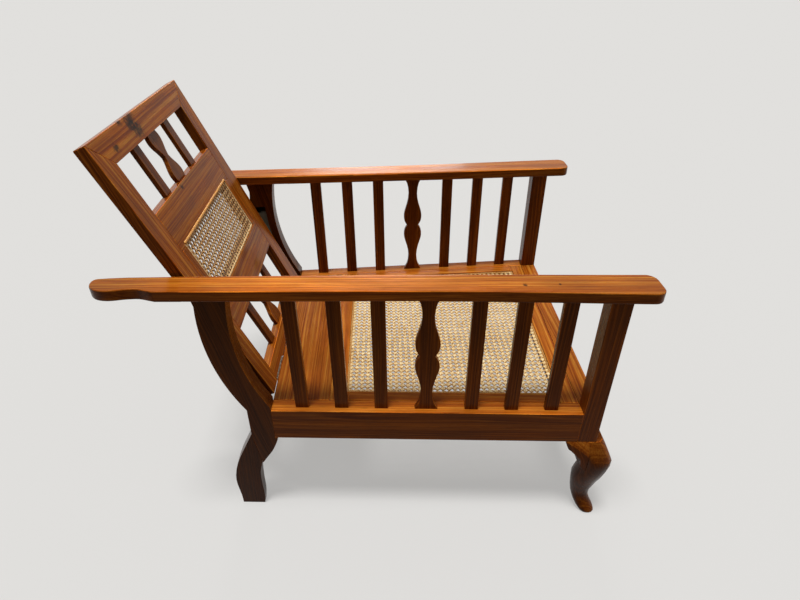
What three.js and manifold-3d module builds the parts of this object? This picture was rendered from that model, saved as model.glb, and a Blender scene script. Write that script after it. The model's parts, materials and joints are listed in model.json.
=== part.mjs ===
// Planters chair in varnished hardwood with a cane seat and a cane back that reclines.
// Millimetres. +Z is up, the chair faces -Y and its left side is +X.
// The origin is on the floor under the middle of the chair.

import * as THREE from 'three';
import * as BufferGeometryUtils from 'three/addons/utils/BufferGeometryUtils.js';
import Module from 'manifold-3d';

const wasm = await Module();
wasm.setup();

// Heights and lengths of the side frames
const seatHeight = 318;
const armRise = 296;
const armThick = 23;
const railLength = 677.5;
const railDeep = 84;
const railThick = 36;
const rearHalfWidth = 300.5;
const armPastRear = 302;
const armPastFront = 94.5;
// Sideways run of each side frame for each unit of length towards the front
const splayShare = 0.0545;

// Arms, measured from the outer face of the side frame
const armTailWidth = 46;
const armRearWidth = 55;
const armMiddleWidth = 61;
const armFrontWidth = 70;
const armRearOverhang = 18;
const armMiddleOverhang = 8;
const armFrontOverhang = 12;
const armTailInset = 9;
const armTailLength = 128;
const armTailRadius = 12;
const armFrontRadius = 20;
const armFrontRun = 40;
const armEasing = 2;

// Posts and slats
const frontPostDeep = 41.5;
const rearPostThick = 36;
const postAheadOfRod = 44.7;
const postBehindRod = 16.3;
const postCurveForward = 50;
const postCurveDrop = 6.4;
const sweepCentreForward = 330;
const sweepCentreRise = 225.4;
const postCapDeep = 5;
const postCapHigh = 22;
const slatWide = 29;
const slatThick = 12;
const slatEndInset = 67.5;
const splatPitch = 98;
const splatWide = 51;

// Legs
const footDeep = 54;
const footFloorThick = 18;
const footLip = 5;
const scarfRise = 10;
const scarfLong = 93;
const legTopWide = 60;
const legTopForward = 19;
const bracketLong = 51.5;
const bracketDeep = 84;
const bracketStart = 4;
const bracketThick = 34;
const kneeSwell = 24;

// Seat
const rearBoardDeep = 125;
const rearBoardThick = 24;
const rearRailThick = 30;
const seatFrameThick = 26;
const seatRearWide = 36;
const seatFrontWide = 33;
const seatSideWide = 28;
const cleatWide = 20;
const cleatDeep = 22;
const caneThick = 3;
const caneRebateWide = 7;
const caneRebateDeep = 5;
const caneBorder = 9;
const seatFrameGap = 0.7;

// Back
const backLean = 23.1;
const backLength = 620;
const backWide = 493;
const backThick = 24;
const backAheadOfPin = 4;
const stileWide = 52;
const topRailDeep = 54;
const bottomRailDeep = 37;
const lowerRailDeep = 78;
const upperRailDeep = 80;
const caneStripWide = 23;
const backSlatWide = 28;
const backSlatThick = 10;
const backSplatWide = 50;
const hingeBehindRail = 3.9;
const backFootLevel = -0.5;

// Butt hinges
const hingeLong = 80;
const hingeFromMiddle = 157;
const seatLeafDeep = 24;
const backLeafDeep = 16;
const backLeafLevel = 4;
const leafThick = 1.6;
const knuckleRadius = 3.5;
const pinRadius = 1.7;
const pinHead = 1.2;
const knuckleCount = 5;

// Support rod and the routed slots that its ends run in
const rodRadius = 5;
const slotDepth = 12;
const slotAheadOfRod = 23;
const notchCount = 5;
const notchPitch = 45;
const notchDepth = 3;

// Clearances
const jointGap = 0.3;
const runningGap = 0.4;
const overrun = 2;

// Numbers of facets and of cane gaps
const curveSteps = 14;
const edgeSteps = 8;
const tailSteps = 22;
const cornerSteps = 5;
const legSides = 16;
const roundSides = 12;
const seatAcrossCount = 14;
const seatAlongCount = 13;
const backAcrossCount = 14;
const backUpCount = 8;
const caneStrandShare = 0.45;

// Outlines as shares of the sizes that they follow
// Half of a side splat from its end to its middle: share of half length, share of half width
const splatShares = [[0, 1], [0.05, 0.86], [0.16, 0.58], [0.36, 0.475], [0.55, 0.66], [0.7, 0.92],
  [0.81, 1], [0.92, 0.9], [1, 0.62]];
// Foot of each rail beside the back's cane, share of the back's length
const lowerRailShare = 0.255;
const upperRailShare = 0.6065;
// Middle of each back slat, share of the half width between the stiles
const backSlatShare = 0.463;
// Half of a back splat from its end to its waist
const backSplatShares = [[0, 0.86], [0.16, 0.98], [0.34, 1], [0.55, 0.84], [0.78, 0.55], [1, 0.36]];
// Outer edge of an arm's tail from its end: share of the tail's length, share of its inset
const armTailShares = [[0, 3], [0.03, 1.8], [0.1, 0.85], [0.17, 0.4], [0.25, 0.17], [0.34, 0.17],
  [0.43, 0.4], [0.52, 0.7], [0.62, 0.9], [0.73, 1], [0.81, 0.8], [0.9, 0.4], [1, 0]];
// Notch in the slot's rear wall: share of half its width, share of its depth
const notchShares = [[-1.25, 0], [-0.8, 0.75], [0, 1], [0.8, 0.75], [1.25, 0]];
// Rear end of the scarf, share of the foot's depth
const scarfEndShare = 0.78;
// Rear foot, share of its depth behind the rail's end and share of the rail's underside height
const footBackShares = [[1.33, 0.89], [1.64, 0.743], [1.92, 0.591], [2.09, 0.435], [2.13, 0.321],
  [2.09, 0.205], [2.05, 0.107], [2.05, 0]];
const footFrontShares = [[1.05, 0], [1, 0.085], [0.98, 0.175], [0.99, 0.275], [0.98, 0.4],
  [0.945, 0.494], [0.87, 0.565]];
// Front face of the rear post below the rail, from under the rail down to the scarf
const postToeShares = [[-0.02, 0.94], [0.23, 0.813], [0.54, 0.706], [0.73, 0.64]];
// Front leg: share of height, diagonal shift and width as shares of its top width
const legShares = [[1, 0, 1], [0.95, 0.118, 0.98], [0.88, 0.246, 0.98], [0.8, 0.37, 1.01],
  [0.72, 0.378, 1.01], [0.63, 0.344, 1], [0.54, 0.281, 1], [0.45, 0.213, 0.96], [0.35, 0.179, 0.85],
  [0.26, 0.158, 0.73], [0.18, 0.178, 0.665], [0.11, 0.264, 0.672], [0.05, 0.387, 0.68],
  [0.015, 0.46, 0.62], [0, 0.478, 0.55]];
// Power of the leg's rounded square sections at its foot, what its top adds, and how late that comes
const legSquareShares = [2.4, 3, 4];
// Lower edge of a knee bracket from its leg: share of its length, share of its depth
const bracketStretchShare = 3;
const bracketShares = [[0, 1], [0.35, 0.72], [0.557, 0.476], [0.83, 0.282], [0.99, 0.06]];

// Levels and places worked out from the sizes above
const armUnder = seatHeight + armRise;
const railUnder = seatHeight - railDeep;
const overallLength = armPastRear + railLength + armPastFront;
const railRearY = overallLength / 2 - armPastRear;
const sweepCentreHeight = seatHeight + sweepCentreRise;
const lean = THREE.MathUtils.degToRad(backLean);
const rodBehind = backThick - backAheadOfPin + jointGap + rodRadius;
const centreFromHinge = Math.hypot(sweepCentreForward + hingeBehindRail, sweepCentreRise);
const rodPathRadius = centreFromHinge + rodBehind;
const postFrontRadius = rodPathRadius + postCurveForward - postAheadOfRod;
const postRearRadius = rodPathRadius + postBehindRod;
const splatStation = railLength / 2;
const slatPitch = (railLength / 2 - splatPitch - slatEndInset) / 2;

// Woods, cane and metals
const finish = (color, roughness, metalness = 0) => ({ color, roughness, metalness });
const finishes = {
  topWood: finish(0xc47a3a, 0.3),
  sideWood: finish(0x5a3216, 0.35),
  backWood: finish(0x8a4f26, 0.32),
  cane: finish(0xd9b46c, 0.55),
  brass: finish(0x8f8468, 0.4, 1),
  steel: finish(0x5c5a58, 0.42, 1),
};

const mesh = (name, geometry, look) => {
  const made = new THREE.Mesh(geometry, new THREE.MeshStandardMaterial(finishes[look]));
  made.name = name;
  return made;
};

// Outer half width of the side frames at a station, measured forward from the rail's rear end
const halfWidthAt = (station) => rearHalfWidth + splayShare * station;
const yAt = (station) => railRearY - station;

// Closed mesh to solid and back, for cuts and joins
const cleaned = (geometry) => {
  const plain = geometry.index ? geometry.toNonIndexed() : geometry.clone();
  plain.deleteAttribute('normal');
  plain.deleteAttribute('uv');
  return BufferGeometryUtils.mergeVertices(plain);
};

const toSolid = (geometry) => {
  const plain = cleaned(geometry);
  return new wasm.Manifold(new wasm.Mesh({
    numProp: 3,
    vertProperties: new Float32Array(plain.attributes.position.array),
    triVerts: new Uint32Array(plain.index.array),
  }));
};

const toGeometry = (solid) => {
  const data = solid.getMesh();
  const geometry = new THREE.BufferGeometry();
  geometry.setAttribute('position', new THREE.BufferAttribute(data.vertProperties, 3));
  geometry.setIndex(new THREE.BufferAttribute(data.triVerts, 1));
  return geometry;
};

const cut = (geometry, ...tools) => {
  let solid = toSolid(geometry);
  for (const tool of tools) solid = solid.subtract(toSolid(tool));
  return toGeometry(solid);
};

const join = (geometry, ...others) => {
  let solid = toSolid(geometry);
  for (const other of others) solid = solid.add(toSolid(other));
  return toGeometry(solid);
};

// A side frame is drawn as the left one, with its outer face at x = 0, then leant out by its splay
const splay = new THREE.Matrix4().set(1, -splayShare, 0, 0, 0, 1, 0, 0, 0, 0, 1, 0, 0, 0, 0, 1);
const splayed = (geometry) => geometry.applyMatrix4(splay);

const mirrored = (geometry) => {
  const flat = geometry.index ? geometry.toNonIndexed() : geometry.clone();
  const place = flat.attributes.position;
  for (let corner = 0; corner < place.count; corner += 3) {
    const [a, b, c] = [0, 1, 2].map((step) => new THREE.Vector3().fromBufferAttribute(place, corner + step));
    [a, c, b].forEach((point, step) => place.setXYZ(corner + step, -point.x, point.y, point.z));
  }
  return flat;
};

// Puts one left-side geometry on both sides, named for each
const sides = [['left', 1], ['right', -1]];
const pair = (parent, name, geometry, station, height, look, ending = '') => {
  for (const [side, sign] of sides) {
    const shape = sign > 0 ? geometry.clone() : mirrored(geometry);
    const piece = mesh(`${name}_${side}${ending}`, shape, look);
    piece.position.set(sign * halfWidthAt(station), yAt(station), height);
    parent.add(piece);
  }
};

// Box whose outer face is at x = -inset, its front end at y = 0 and its bottom at z = 0
const sideBox = (thick, long, high, inset = 0) => {
  const box = new THREE.BoxGeometry(thick, long, high);
  return box.translate(-inset - thick / 2, long / 2, high / 2);
};

const sideBar = (...sizes) => splayed(sideBox(...sizes));

// Outline in the side view, drawn rearward and up, made a plank with its outer face at x = 0
const turnToSide = new THREE.Matrix4().set(0, 0, 1, 0, 1, 0, 0, 0, 0, 1, 0, 0, 0, 0, 0, 1);
const sidePlank = (outline, thick) => {
  const plank = new THREE.ExtrudeGeometry(outline, { depth: thick, bevelEnabled: false });
  plank.translate(0, 0, -thick);
  return plank.applyMatrix4(turnToSide);
};

const points = (shares, across, up) => shares.map(([x, y]) => new THREE.Vector2(x * across, y * up));

// Shape through points in order, without any that falls on the one before it
const closedShape = (all) => new THREE.Shape(all.filter((point, index) => (
  point.distanceTo(all.at(index - 1)) > runningGap
)));

// Closed outline of smooth runs joined at corners
const outlineOf = (runs) => closedShape(runs.flatMap((run) => (
  run.length > 2 ? new THREE.SplineCurve(run).getPoints(curveSteps) : run
)));

const arcRun = (radius, from, to, steps = curveSteps) => {
  const run = [];
  for (let step = 0; step <= steps; step += 1) {
    const turn = from + (to - from) * step / steps;
    run.push(new THREE.Vector2(Math.cos(turn) * radius, Math.sin(turn) * radius));
  }
  return run;
};

// Splat: two mirrored halves about its middle, standing on z = 0, centred on y = 0
const splatOutline = (shares, wide, long) => {
  const half = points(shares.map(([along, across]) => [across, along]), wide / 2, long / 2);
  const lower = new THREE.SplineCurve(half).getPoints(curveSteps);
  const upper = lower.slice(0, -1).reverse().map((point) => new THREE.Vector2(point.x, long - point.y));
  const right = [...lower, ...upper];
  const left = right.slice().reverse().map((point) => new THREE.Vector2(-point.x, point.y));
  return new THREE.Shape([...right, ...left]);
};

// Side frames: rails, posts, arms, slats and the shaped splat
const makeSides = () => {
  const group = new THREE.Group();
  pair(group, 'side_rail', sideBar(railThick, railLength, railDeep), railLength, railUnder, 'sideWood');
  const postHigh = armUnder - railUnder;
  const postFront = railLength + frontPostDeep;
  pair(group, 'front_post', sideBar(railThick, frontPostDeep, postHigh), postFront, railUnder, 'sideWood');
  const slatInset = (railThick - slatThick) / 2;
  const slatStations = [-2, -1, 0].map((step) => splatStation - splatPitch + step * slatPitch);
  slatStations.push(...[0, 1, 2].map((step) => splatStation + splatPitch + step * slatPitch));
  slatStations.forEach((station, index) => {
    const slat = sideBar(slatThick, slatWide, armRise, slatInset);
    pair(group, 'side_slat', slat, station + slatWide / 2, seatHeight, 'sideWood', `_${index + 1}`);
  });
  const splat = sidePlank(splatOutline(splatShares, splatWide, armRise), slatThick);
  splat.translate(-slatInset, 0, 0);
  pair(group, 'side_splat', splayed(splat), splatStation, seatHeight, 'sideWood');
  return group;
};

// Arm in plan, its overhang and width changing along the side and a step at its rear tail
const makeArms = () => {
  const group = new THREE.Group();
  const rear = armPastRear;
  const front = -railLength - armPastFront;
  const tailEnd = rear - armTailLength;
  const middle = -railLength / 2;
  const at = (x, y) => new THREE.Vector2(x, y);
  const tail = points(armTailShares, armTailLength, armTailInset)
    .map((point) => at(armRearOverhang - point.y, rear - point.x));
  const outer = [at(armRearOverhang, tailEnd), at(armMiddleOverhang, middle),
    at(armFrontOverhang, front + armFrontRun)];
  const round = (x, y, radius, from, to) => arcRun(radius, from, to, cornerSteps)
    .map((point) => at(point.x + x, point.y + y));
  const frontInner = armFrontOverhang - armFrontWidth;
  const tailInner = armRearOverhang - armTailWidth;
  const frontRound = [
    ...round(armFrontOverhang - armFrontRadius, front + armFrontRadius, armFrontRadius, 0, -Math.PI / 2),
    ...round(frontInner + armFrontRadius, front + armFrontRadius, armFrontRadius, -Math.PI / 2, -Math.PI),
  ];
  const inner = [at(frontInner, front + armFrontRun), at(armMiddleOverhang - armMiddleWidth, middle),
    at(armRearOverhang - armRearWidth, tailEnd), at(tailInner, rear - armTailRadius)];
  const tailRound = round(tailInner + armTailRadius, rear - armTailRadius, armTailRadius, Math.PI,
    Math.PI / 2);
  const smooth = (run, steps) => new THREE.SplineCurve(run).getPoints(steps);
  const plan = [...smooth(tail, tailSteps), ...smooth(outer, edgeSteps), ...frontRound,
    ...smooth(inner, edgeSteps), ...tailRound];
  const arm = new THREE.ExtrudeGeometry(closedShape(plan), {
    depth: armThick - 2 * armEasing,
    bevelEnabled: true,
    bevelThickness: armEasing,
    bevelSize: armEasing,
    bevelOffset: -armEasing,
    bevelSegments: 2,
  });
  arm.translate(0, 0, armEasing);
  pair(group, 'arm', splayed(arm), 0, armUnder, 'topWood');
  return group;
};

// Centre of the rod's path and of the rear post's rear edge, and centre of the post's front edge.
// Both are measured rearward from the rail's rear end, and up
const sweepCentre = new THREE.Vector2(-sweepCentreForward, sweepCentreHeight);
const postFrontCentre = new THREE.Vector2(sweepCentre.x - postCurveForward, sweepCentre.y - postCurveDrop);

const angleAt = (centre, radius, height) => Math.asin((height - centre.y) / radius);
const curveRun = (centre, radius, from, to) => arcRun(radius, from, to).map((point) => point.add(centre));

// Rest place of the rod on its circle, behind the back and touching it but for a joint's gap
const rodRestAngle = () => {
  const forward = sweepCentreForward + hingeBehindRail;
  const centreAlong = sweepCentreRise * Math.cos(lean) - forward * Math.sin(lean);
  const centreBehind = -forward * Math.cos(lean) - sweepCentreRise * Math.sin(lean);
  const across = rodBehind - centreBehind;
  const along = centreAlong + Math.sqrt(rodPathRadius ** 2 - across ** 2);
  const height = seatHeight + along * Math.cos(lean) - rodBehind * Math.sin(lean);
  return angleAt(sweepCentre, rodPathRadius, height);
};

const rodRest = rodRestAngle();
const notchStep = notchPitch / rodPathRadius;
const notchAngles = Array.from({ length: notchCount }, (_, index) => (
  rodRest + (index - (notchCount - 1) / 2) * notchStep
));

// Slot cutter: a band round the sweep centre with a scallop at each notch of its rear wall
const slotCutter = () => {
  const wallRadius = rodPathRadius + rodRadius + runningGap;
  const innerRadius = rodPathRadius - slotAheadOfRod;
  const margin = (rodRadius + notchDepth) / rodPathRadius;
  const low = notchAngles[0] - margin;
  const high = notchAngles[notchCount - 1] + margin;
  const rearWall = [];
  const half = (rodRadius + runningGap) / rodPathRadius;
  for (const angle of notchAngles) {
    for (const [along, deep] of notchShares) {
      const turn = Math.min(high, Math.max(low, angle + along * half));
      rearWall.push([turn, wallRadius + deep * notchDepth]);
    }
  }
  const shape = rearWall.map(([turn, radius]) => (
    new THREE.Vector2(Math.cos(turn), Math.sin(turn)).multiplyScalar(radius).add(sweepCentre)
  ));
  shape.push(...curveRun(sweepCentre, innerRadius, high, low));
  const cutter = sidePlank(new THREE.Shape(shape), slotDepth + overrun);
  return cutter.translate(-rearPostThick + slotDepth, 0, 0);
};

// Curved rear post: an arc-shaped plank, straight behind the rail, scarfed to its foot below
const scarfTop = new THREE.Vector2(footDeep, railUnder + scarfRise);
const scarfEnd = new THREE.Vector2(footDeep * scarfEndShare, scarfTop.y - scarfLong);

const makeRearPosts = () => {
  const group = new THREE.Group();
  const at = (x, y) => new THREE.Vector2(x, y);
  const frontLow = -Math.acos(-postFrontCentre.x / postFrontRadius);
  const frontHigh = angleAt(postFrontCentre, postFrontRadius, armUnder);
  const rearLow = angleAt(sweepCentre, postRearRadius, seatHeight);
  const rearHigh = angleAt(sweepCentre, postRearRadius, armUnder - postCapHigh);
  const rearEdge = curveRun(sweepCentre, postRearRadius, rearLow, rearHigh);
  const capFoot = rearEdge[rearEdge.length - 1];
  const outline = outlineOf([
    curveRun(postFrontCentre, postFrontRadius, frontHigh, frontLow),
    [at(0, railUnder), at(-footLip, railUnder)],
    [at(-footLip, railUnder), ...points(postToeShares, footDeep, railUnder), scarfEnd],
    [scarfEnd, scarfTop],
    rearEdge,
    [capFoot, at(capFoot.x + postCapDeep, armUnder)],
  ]);
  const post = cut(sidePlank(outline, rearPostThick), slotCutter());
  pair(group, 'rear_post', splayed(post), 0, 0, 'sideWood');

  const clearance = at(jointGap / 2, -jointGap);
  const footTop = scarfTop.clone().add(clearance);
  const footToe = scarfEnd.clone().add(clearance);
  const footOutline = outlineOf([
    [footTop, ...points(footBackShares, footDeep, railUnder)],
    [...points(footFrontShares, footDeep, railUnder), footToe],
  ]);
  const foot = sidePlank(footOutline, rearPostThick);
  const taper = foot.attributes.position;
  for (let index = 0; index < taper.count; index += 1) {
    const drop = Math.max(0, 1 - taper.getZ(index) / scarfEnd.y);
    const thin = 1 - drop * (1 - footFloorThick / rearPostThick);
    taper.setX(index, taper.getX(index) * thin);
  }
  pair(group, 'rear_foot', splayed(foot), 0, 0, 'sideWood');
  return group;
};

// Closed skin through rings of equal length, with flat ends
const loft = (rings) => {
  const sidesOf = rings[0].length;
  const corners = rings.flat();
  const faces = [];
  for (let ring = 0; ring < rings.length - 1; ring += 1) {
    for (let side = 0; side < sidesOf; side += 1) {
      const next = (side + 1) % sidesOf;
      const [a, b] = [ring * sidesOf + side, ring * sidesOf + next];
      const [c, d] = [a + sidesOf, b + sidesOf];
      faces.push(a, b, d, a, d, c);
    }
  }
  const last = (rings.length - 1) * sidesOf;
  for (let side = 1; side < sidesOf - 1; side += 1) {
    faces.push(0, side + 1, side);
    faces.push(last, last + side, last + side + 1);
  }
  const geometry = new THREE.BufferGeometry();
  const flat = corners.flatMap((point) => [point.x, point.y, point.z]);
  geometry.setAttribute('position', new THREE.Float32BufferAttribute(flat, 3));
  geometry.setIndex(faces);
  return geometry;
};

// Cabriole leg: rounded square sections that swing out along the diagonal at the knee and toe
const legRings = () => legShares.slice().reverse().map(([high, shift, wide]) => {
  const half = wide * legTopWide / 2;
  const swing = shift * legTopWide;
  const [footSquare, addedSquare, late] = legSquareShares;
  const power = footSquare + addedSquare * high ** late;
  const ring = [];
  for (let side = 0; side < legSides; side += 1) {
    const turn = (side + 0.5) / legSides * 2 * Math.PI;
    const [cos, sin] = [Math.cos(turn), Math.sin(turn)];
    const square = (Math.abs(cos) ** power + Math.abs(sin) ** power) ** (-1 / power);
    ring.push(new THREE.Vector3(cos * square * half + swing, sin * square * half - swing, high * railUnder));
  }
  return ring;
});

const makeFrontLegs = () => {
  const group = new THREE.Group();
  const legStation = railLength + frontPostDeep + legTopForward - legTopWide / 2;
  const legOut = -legTopWide / 2;
  const leg = splayed(loft(legRings())).translate(legOut, 0, 0);
  pair(group, 'front_leg', leg, legStation, 0, 'sideWood');

  const wing = outlineOf([
    [new THREE.Vector2(0, railUnder), new THREE.Vector2(0, railUnder - bracketDeep)],
    points(bracketShares, bracketLong, bracketDeep).map((point) => (
      new THREE.Vector2(point.x, railUnder - point.y)
    )),
    [new THREE.Vector2(bracketLong, railUnder)],
  ]);
  // A bracket swells with the knee, so it is carved from a leg that is stretched along its rail
  const carved = (blank, stretch, apart) => {
    const envelope = loft(legRings()).scale(stretch.x, stretch.y, 1);
    const swollen = toGeometry(toSolid(blank).intersect(toSolid(envelope)));
    const clearLeg = leg.clone().translate(apart.x, apart.y, 0);
    return cut(splayed(swollen).translate(legOut, 0, 0), clearLeg, leg);
  };
  const bracketReach = legTopWide / 2 - bracketThick;
  const blank = sidePlank(wing, bracketThick + kneeSwell);
  const sideBlank = blank.clone().translate(legTopWide / 2 + kneeSwell, bracketStart, 0);
  const sideWing = carved(sideBlank, { x: 1, y: bracketStretchShare }, { x: 0, y: jointGap });
  pair(group, 'knee_bracket_side', sideWing, legStation, 0, 'sideWood');

  const frontBlank = blank.clone().rotateZ(Math.PI / 2).translate(-bracketStart, -bracketReach, 0);
  const frontWing = carved(frontBlank, { x: bracketStretchShare, y: 1 }, { x: -jointGap, y: 0 });
  pair(group, 'knee_bracket_front', frontWing, legStation, 0, 'sideWood');
  return group;
};

// Board between the side rails, its ends cut to the splay. Stations run forward from the rail's rear end
const crossBoard = (from, to, low, high, endGap = jointGap) => {
  const inside = (station) => halfWidthAt(station) - railThick - endGap;
  const plan = new THREE.Shape([
    new THREE.Vector2(inside(from), yAt(from)),
    new THREE.Vector2(-inside(from), yAt(from)),
    new THREE.Vector2(-inside(to), yAt(to)),
    new THREE.Vector2(inside(to), yAt(to)),
  ]);
  const board = new THREE.ExtrudeGeometry(plan, { depth: high - low, bevelEnabled: false });
  return board.translate(0, 0, low);
};

const frontRailFrom = railLength;
const frontRailTo = railLength + frontPostDeep;
const seatFrom = rearBoardDeep + seatFrameGap;
const seatTo = frontRailFrom - seatFrameGap;
const seatLow = seatHeight - seatFrameThick;

const makeSeatRails = () => {
  const group = new THREE.Group();
  const boardLow = seatHeight - rearBoardThick;
  const front = crossBoard(frontRailFrom, frontRailTo, railUnder, seatHeight);
  group.add(mesh('front_rail', front, 'topWood'));
  group.add(mesh('seat_rear_board', crossBoard(0, rearBoardDeep, boardLow, seatHeight), 'topWood'));
  group.add(mesh('rear_rail', crossBoard(0, rearRailThick, railUnder, boardLow), 'sideWood'));
  const cleat = sideBar(cleatWide, frontRailFrom - rearBoardDeep, cleatDeep, railThick + jointGap);
  pair(group, 'seat_cleat', cleat, frontRailFrom, seatLow - cleatDeep, 'sideWood');
  return group;
};

// Drop-in seat frame. Each member has a rebate along its inner edge, where the cane panel lies
const innerEdge = (station) => halfWidthAt(station) - railThick - seatFrameGap - seatSideWide;
const caneFrom = seatFrom + seatRearWide;
const caneTo = seatTo - seatFrontWide;

const planPanel = (from, to, halfFrom, halfTo, low, high) => {
  const plan = new THREE.Shape([
    new THREE.Vector2(halfFrom, yAt(from)),
    new THREE.Vector2(-halfFrom, yAt(from)),
    new THREE.Vector2(-halfTo, yAt(to)),
    new THREE.Vector2(halfTo, yAt(to)),
  ]);
  return new THREE.ExtrudeGeometry(plan, { depth: high - low, bevelEnabled: false }).translate(0, 0, low);
};

const makeSeatFrame = () => {
  const group = new THREE.Group();
  const rebate = planPanel(caneFrom, caneTo, innerEdge(caneFrom), innerEdge(caneTo),
    seatHeight - caneRebateDeep, seatHeight + overrun);
  const endGap = seatFrameGap;
  const lip = caneRebateWide;
  const rear = crossBoard(seatFrom, caneFrom + lip, seatLow, seatHeight, endGap);
  const front = crossBoard(caneTo - lip, seatTo, seatLow, seatHeight, endGap);
  group.add(mesh('seat_frame_rear', cut(rear, rebate), 'topWood'));
  group.add(mesh('seat_frame_front', cut(front, rebate), 'topWood'));
  const sideFrom = caneFrom + lip + jointGap;
  const sideTo = caneTo - lip - jointGap;
  const sideLong = sideTo - sideFrom;
  const side = sideBar(seatSideWide + lip, sideLong, seatFrameThick, railThick + seatFrameGap);
  const trench = sideBox(lip + overrun, sideLong + 2 * overrun, caneRebateDeep + overrun,
    railThick + seatFrameGap + seatSideWide);
  trench.translate(0, -overrun, seatFrameThick - caneRebateDeep);
  pair(group, 'seat_frame_side', cut(side, splayed(trench)), sideTo, seatLow, 'topWood');
  return group;
};

// Flat net of crossed cane: square gaps in rows, a plain border round them, all one closed skin
const caneNet = (corner, across, along, thick, borderShare) => {
  const positions = [];
  const faces = [];
  const vertex = (u, v, top) => {
    const point = corner(u, v);
    positions.push(point.x, point.y, top ? thick : 0);
    return positions.length / 3 - 1;
  };
  const quad = (a, b, c, d) => faces.push(a, b, c, a, c, d);
  const edge = (index, count) => {
    if (index === 0) return 0;
    if (index === count) return 1;
    return borderShare + (1 - 2 * borderShare) * index / count;
  };
  const gapEdge = (index, count, side) => {
    const cell = (1 - 2 * borderShare) / count;
    return borderShare + cell * (index + (side ? 1 - caneStrandShare / 2 : caneStrandShare / 2));
  };
  for (let i = 0; i < across; i += 1) {
    for (let j = 0; j < along; j += 1) {
      const outer = [[i, j], [i + 1, j], [i + 1, j + 1], [i, j + 1]]
        .map(([a, b]) => [edge(a, across), edge(b, along)]);
      const hole = [[0, 0], [1, 0], [1, 1], [0, 1]]
        .map(([a, b]) => [gapEdge(i, across, a), gapEdge(j, along, b)]);
      const rings = [true, false].map((top) => ({
        outer: outer.map(([u, v]) => vertex(u, v, top)),
        hole: hole.map(([u, v]) => vertex(u, v, top)),
      }));
      const [upper, lower] = rings;
      for (let side = 0; side < 4; side += 1) {
        const next = (side + 1) % 4;
        quad(upper.outer[side], upper.outer[next], upper.hole[next], upper.hole[side]);
        quad(lower.outer[next], lower.outer[side], lower.hole[side], lower.hole[next]);
        quad(upper.hole[side], upper.hole[next], lower.hole[next], lower.hole[side]);
      }
      const rims = [j === 0, i === across - 1, j === along - 1, i === 0];
      rims.forEach((onRim, side) => {
        const next = (side + 1) % 4;
        if (onRim) quad(upper.outer[side], lower.outer[side], lower.outer[next], upper.outer[next]);
      });
    }
  }
  const geometry = new THREE.BufferGeometry();
  geometry.setAttribute('position', new THREE.Float32BufferAttribute(positions, 3));
  geometry.setIndex(faces);
  return BufferGeometryUtils.mergeVertices(geometry);
};

const makeSeatCane = () => {
  const [from, to] = [caneFrom + jointGap, caneTo - jointGap];
  const corner = (u, v) => {
    const station = to + (from - to) * v;
    const half = innerEdge(station) - jointGap;
    return new THREE.Vector2(half * (2 * u - 1), yAt(station));
  };
  const net = caneNet(corner, seatAcrossCount, seatAlongCount, caneThick, caneBorder / (caneTo - caneFrom));
  const seat = mesh('seat_cane', net, 'cane');
  seat.position.z = seatHeight - caneRebateDeep;
  return seat;
};

// The back's panel is drawn upright, with its front face at y = 0 and the hinge's height at z = 0
const turnToFront = new THREE.Matrix4().set(1, 0, 0, 0, 0, 0, -1, 0, 0, 1, 0, 0, 0, 0, 0, 1);
const frontPlank = (outline, thick, setback = 0) => {
  const plank = new THREE.ExtrudeGeometry(outline, { depth: thick, bevelEnabled: false });
  return plank.applyMatrix4(turnToFront).translate(0, thick + setback, 0);
};

const backBoard = (halfWide, low, high, thick = backThick, setback = 0) => {
  const board = new THREE.BoxGeometry(2 * halfWide, thick, high - low);
  return board.translate(0, setback + thick / 2, (low + high) / 2);
};

const stileInner = backWide / 2 - stileWide;
const lowerRailFrom = backLength * lowerRailShare;
const upperRailFrom = backLength * upperRailShare;
const lowerRailTo = lowerRailFrom + lowerRailDeep;
const upperRailTo = upperRailFrom + upperRailDeep;
const topRailFrom = backLength - topRailDeep;

// The foot of the back is cut away round each hinge, whose leaf lies under the cut's ceiling
const hingeRecess = () => {
  const halfLong = hingeLong / 2 + pinHead + jointGap;
  const depth = backAheadOfPin + backLeafDeep + jointGap;
  const high = backLeafLevel - backFootLevel;
  const recess = backBoard(halfLong, -overrun, high, depth + overrun, -overrun);
  return recess.translate(hingeFromMiddle, 0, backFootLevel);
};

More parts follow.
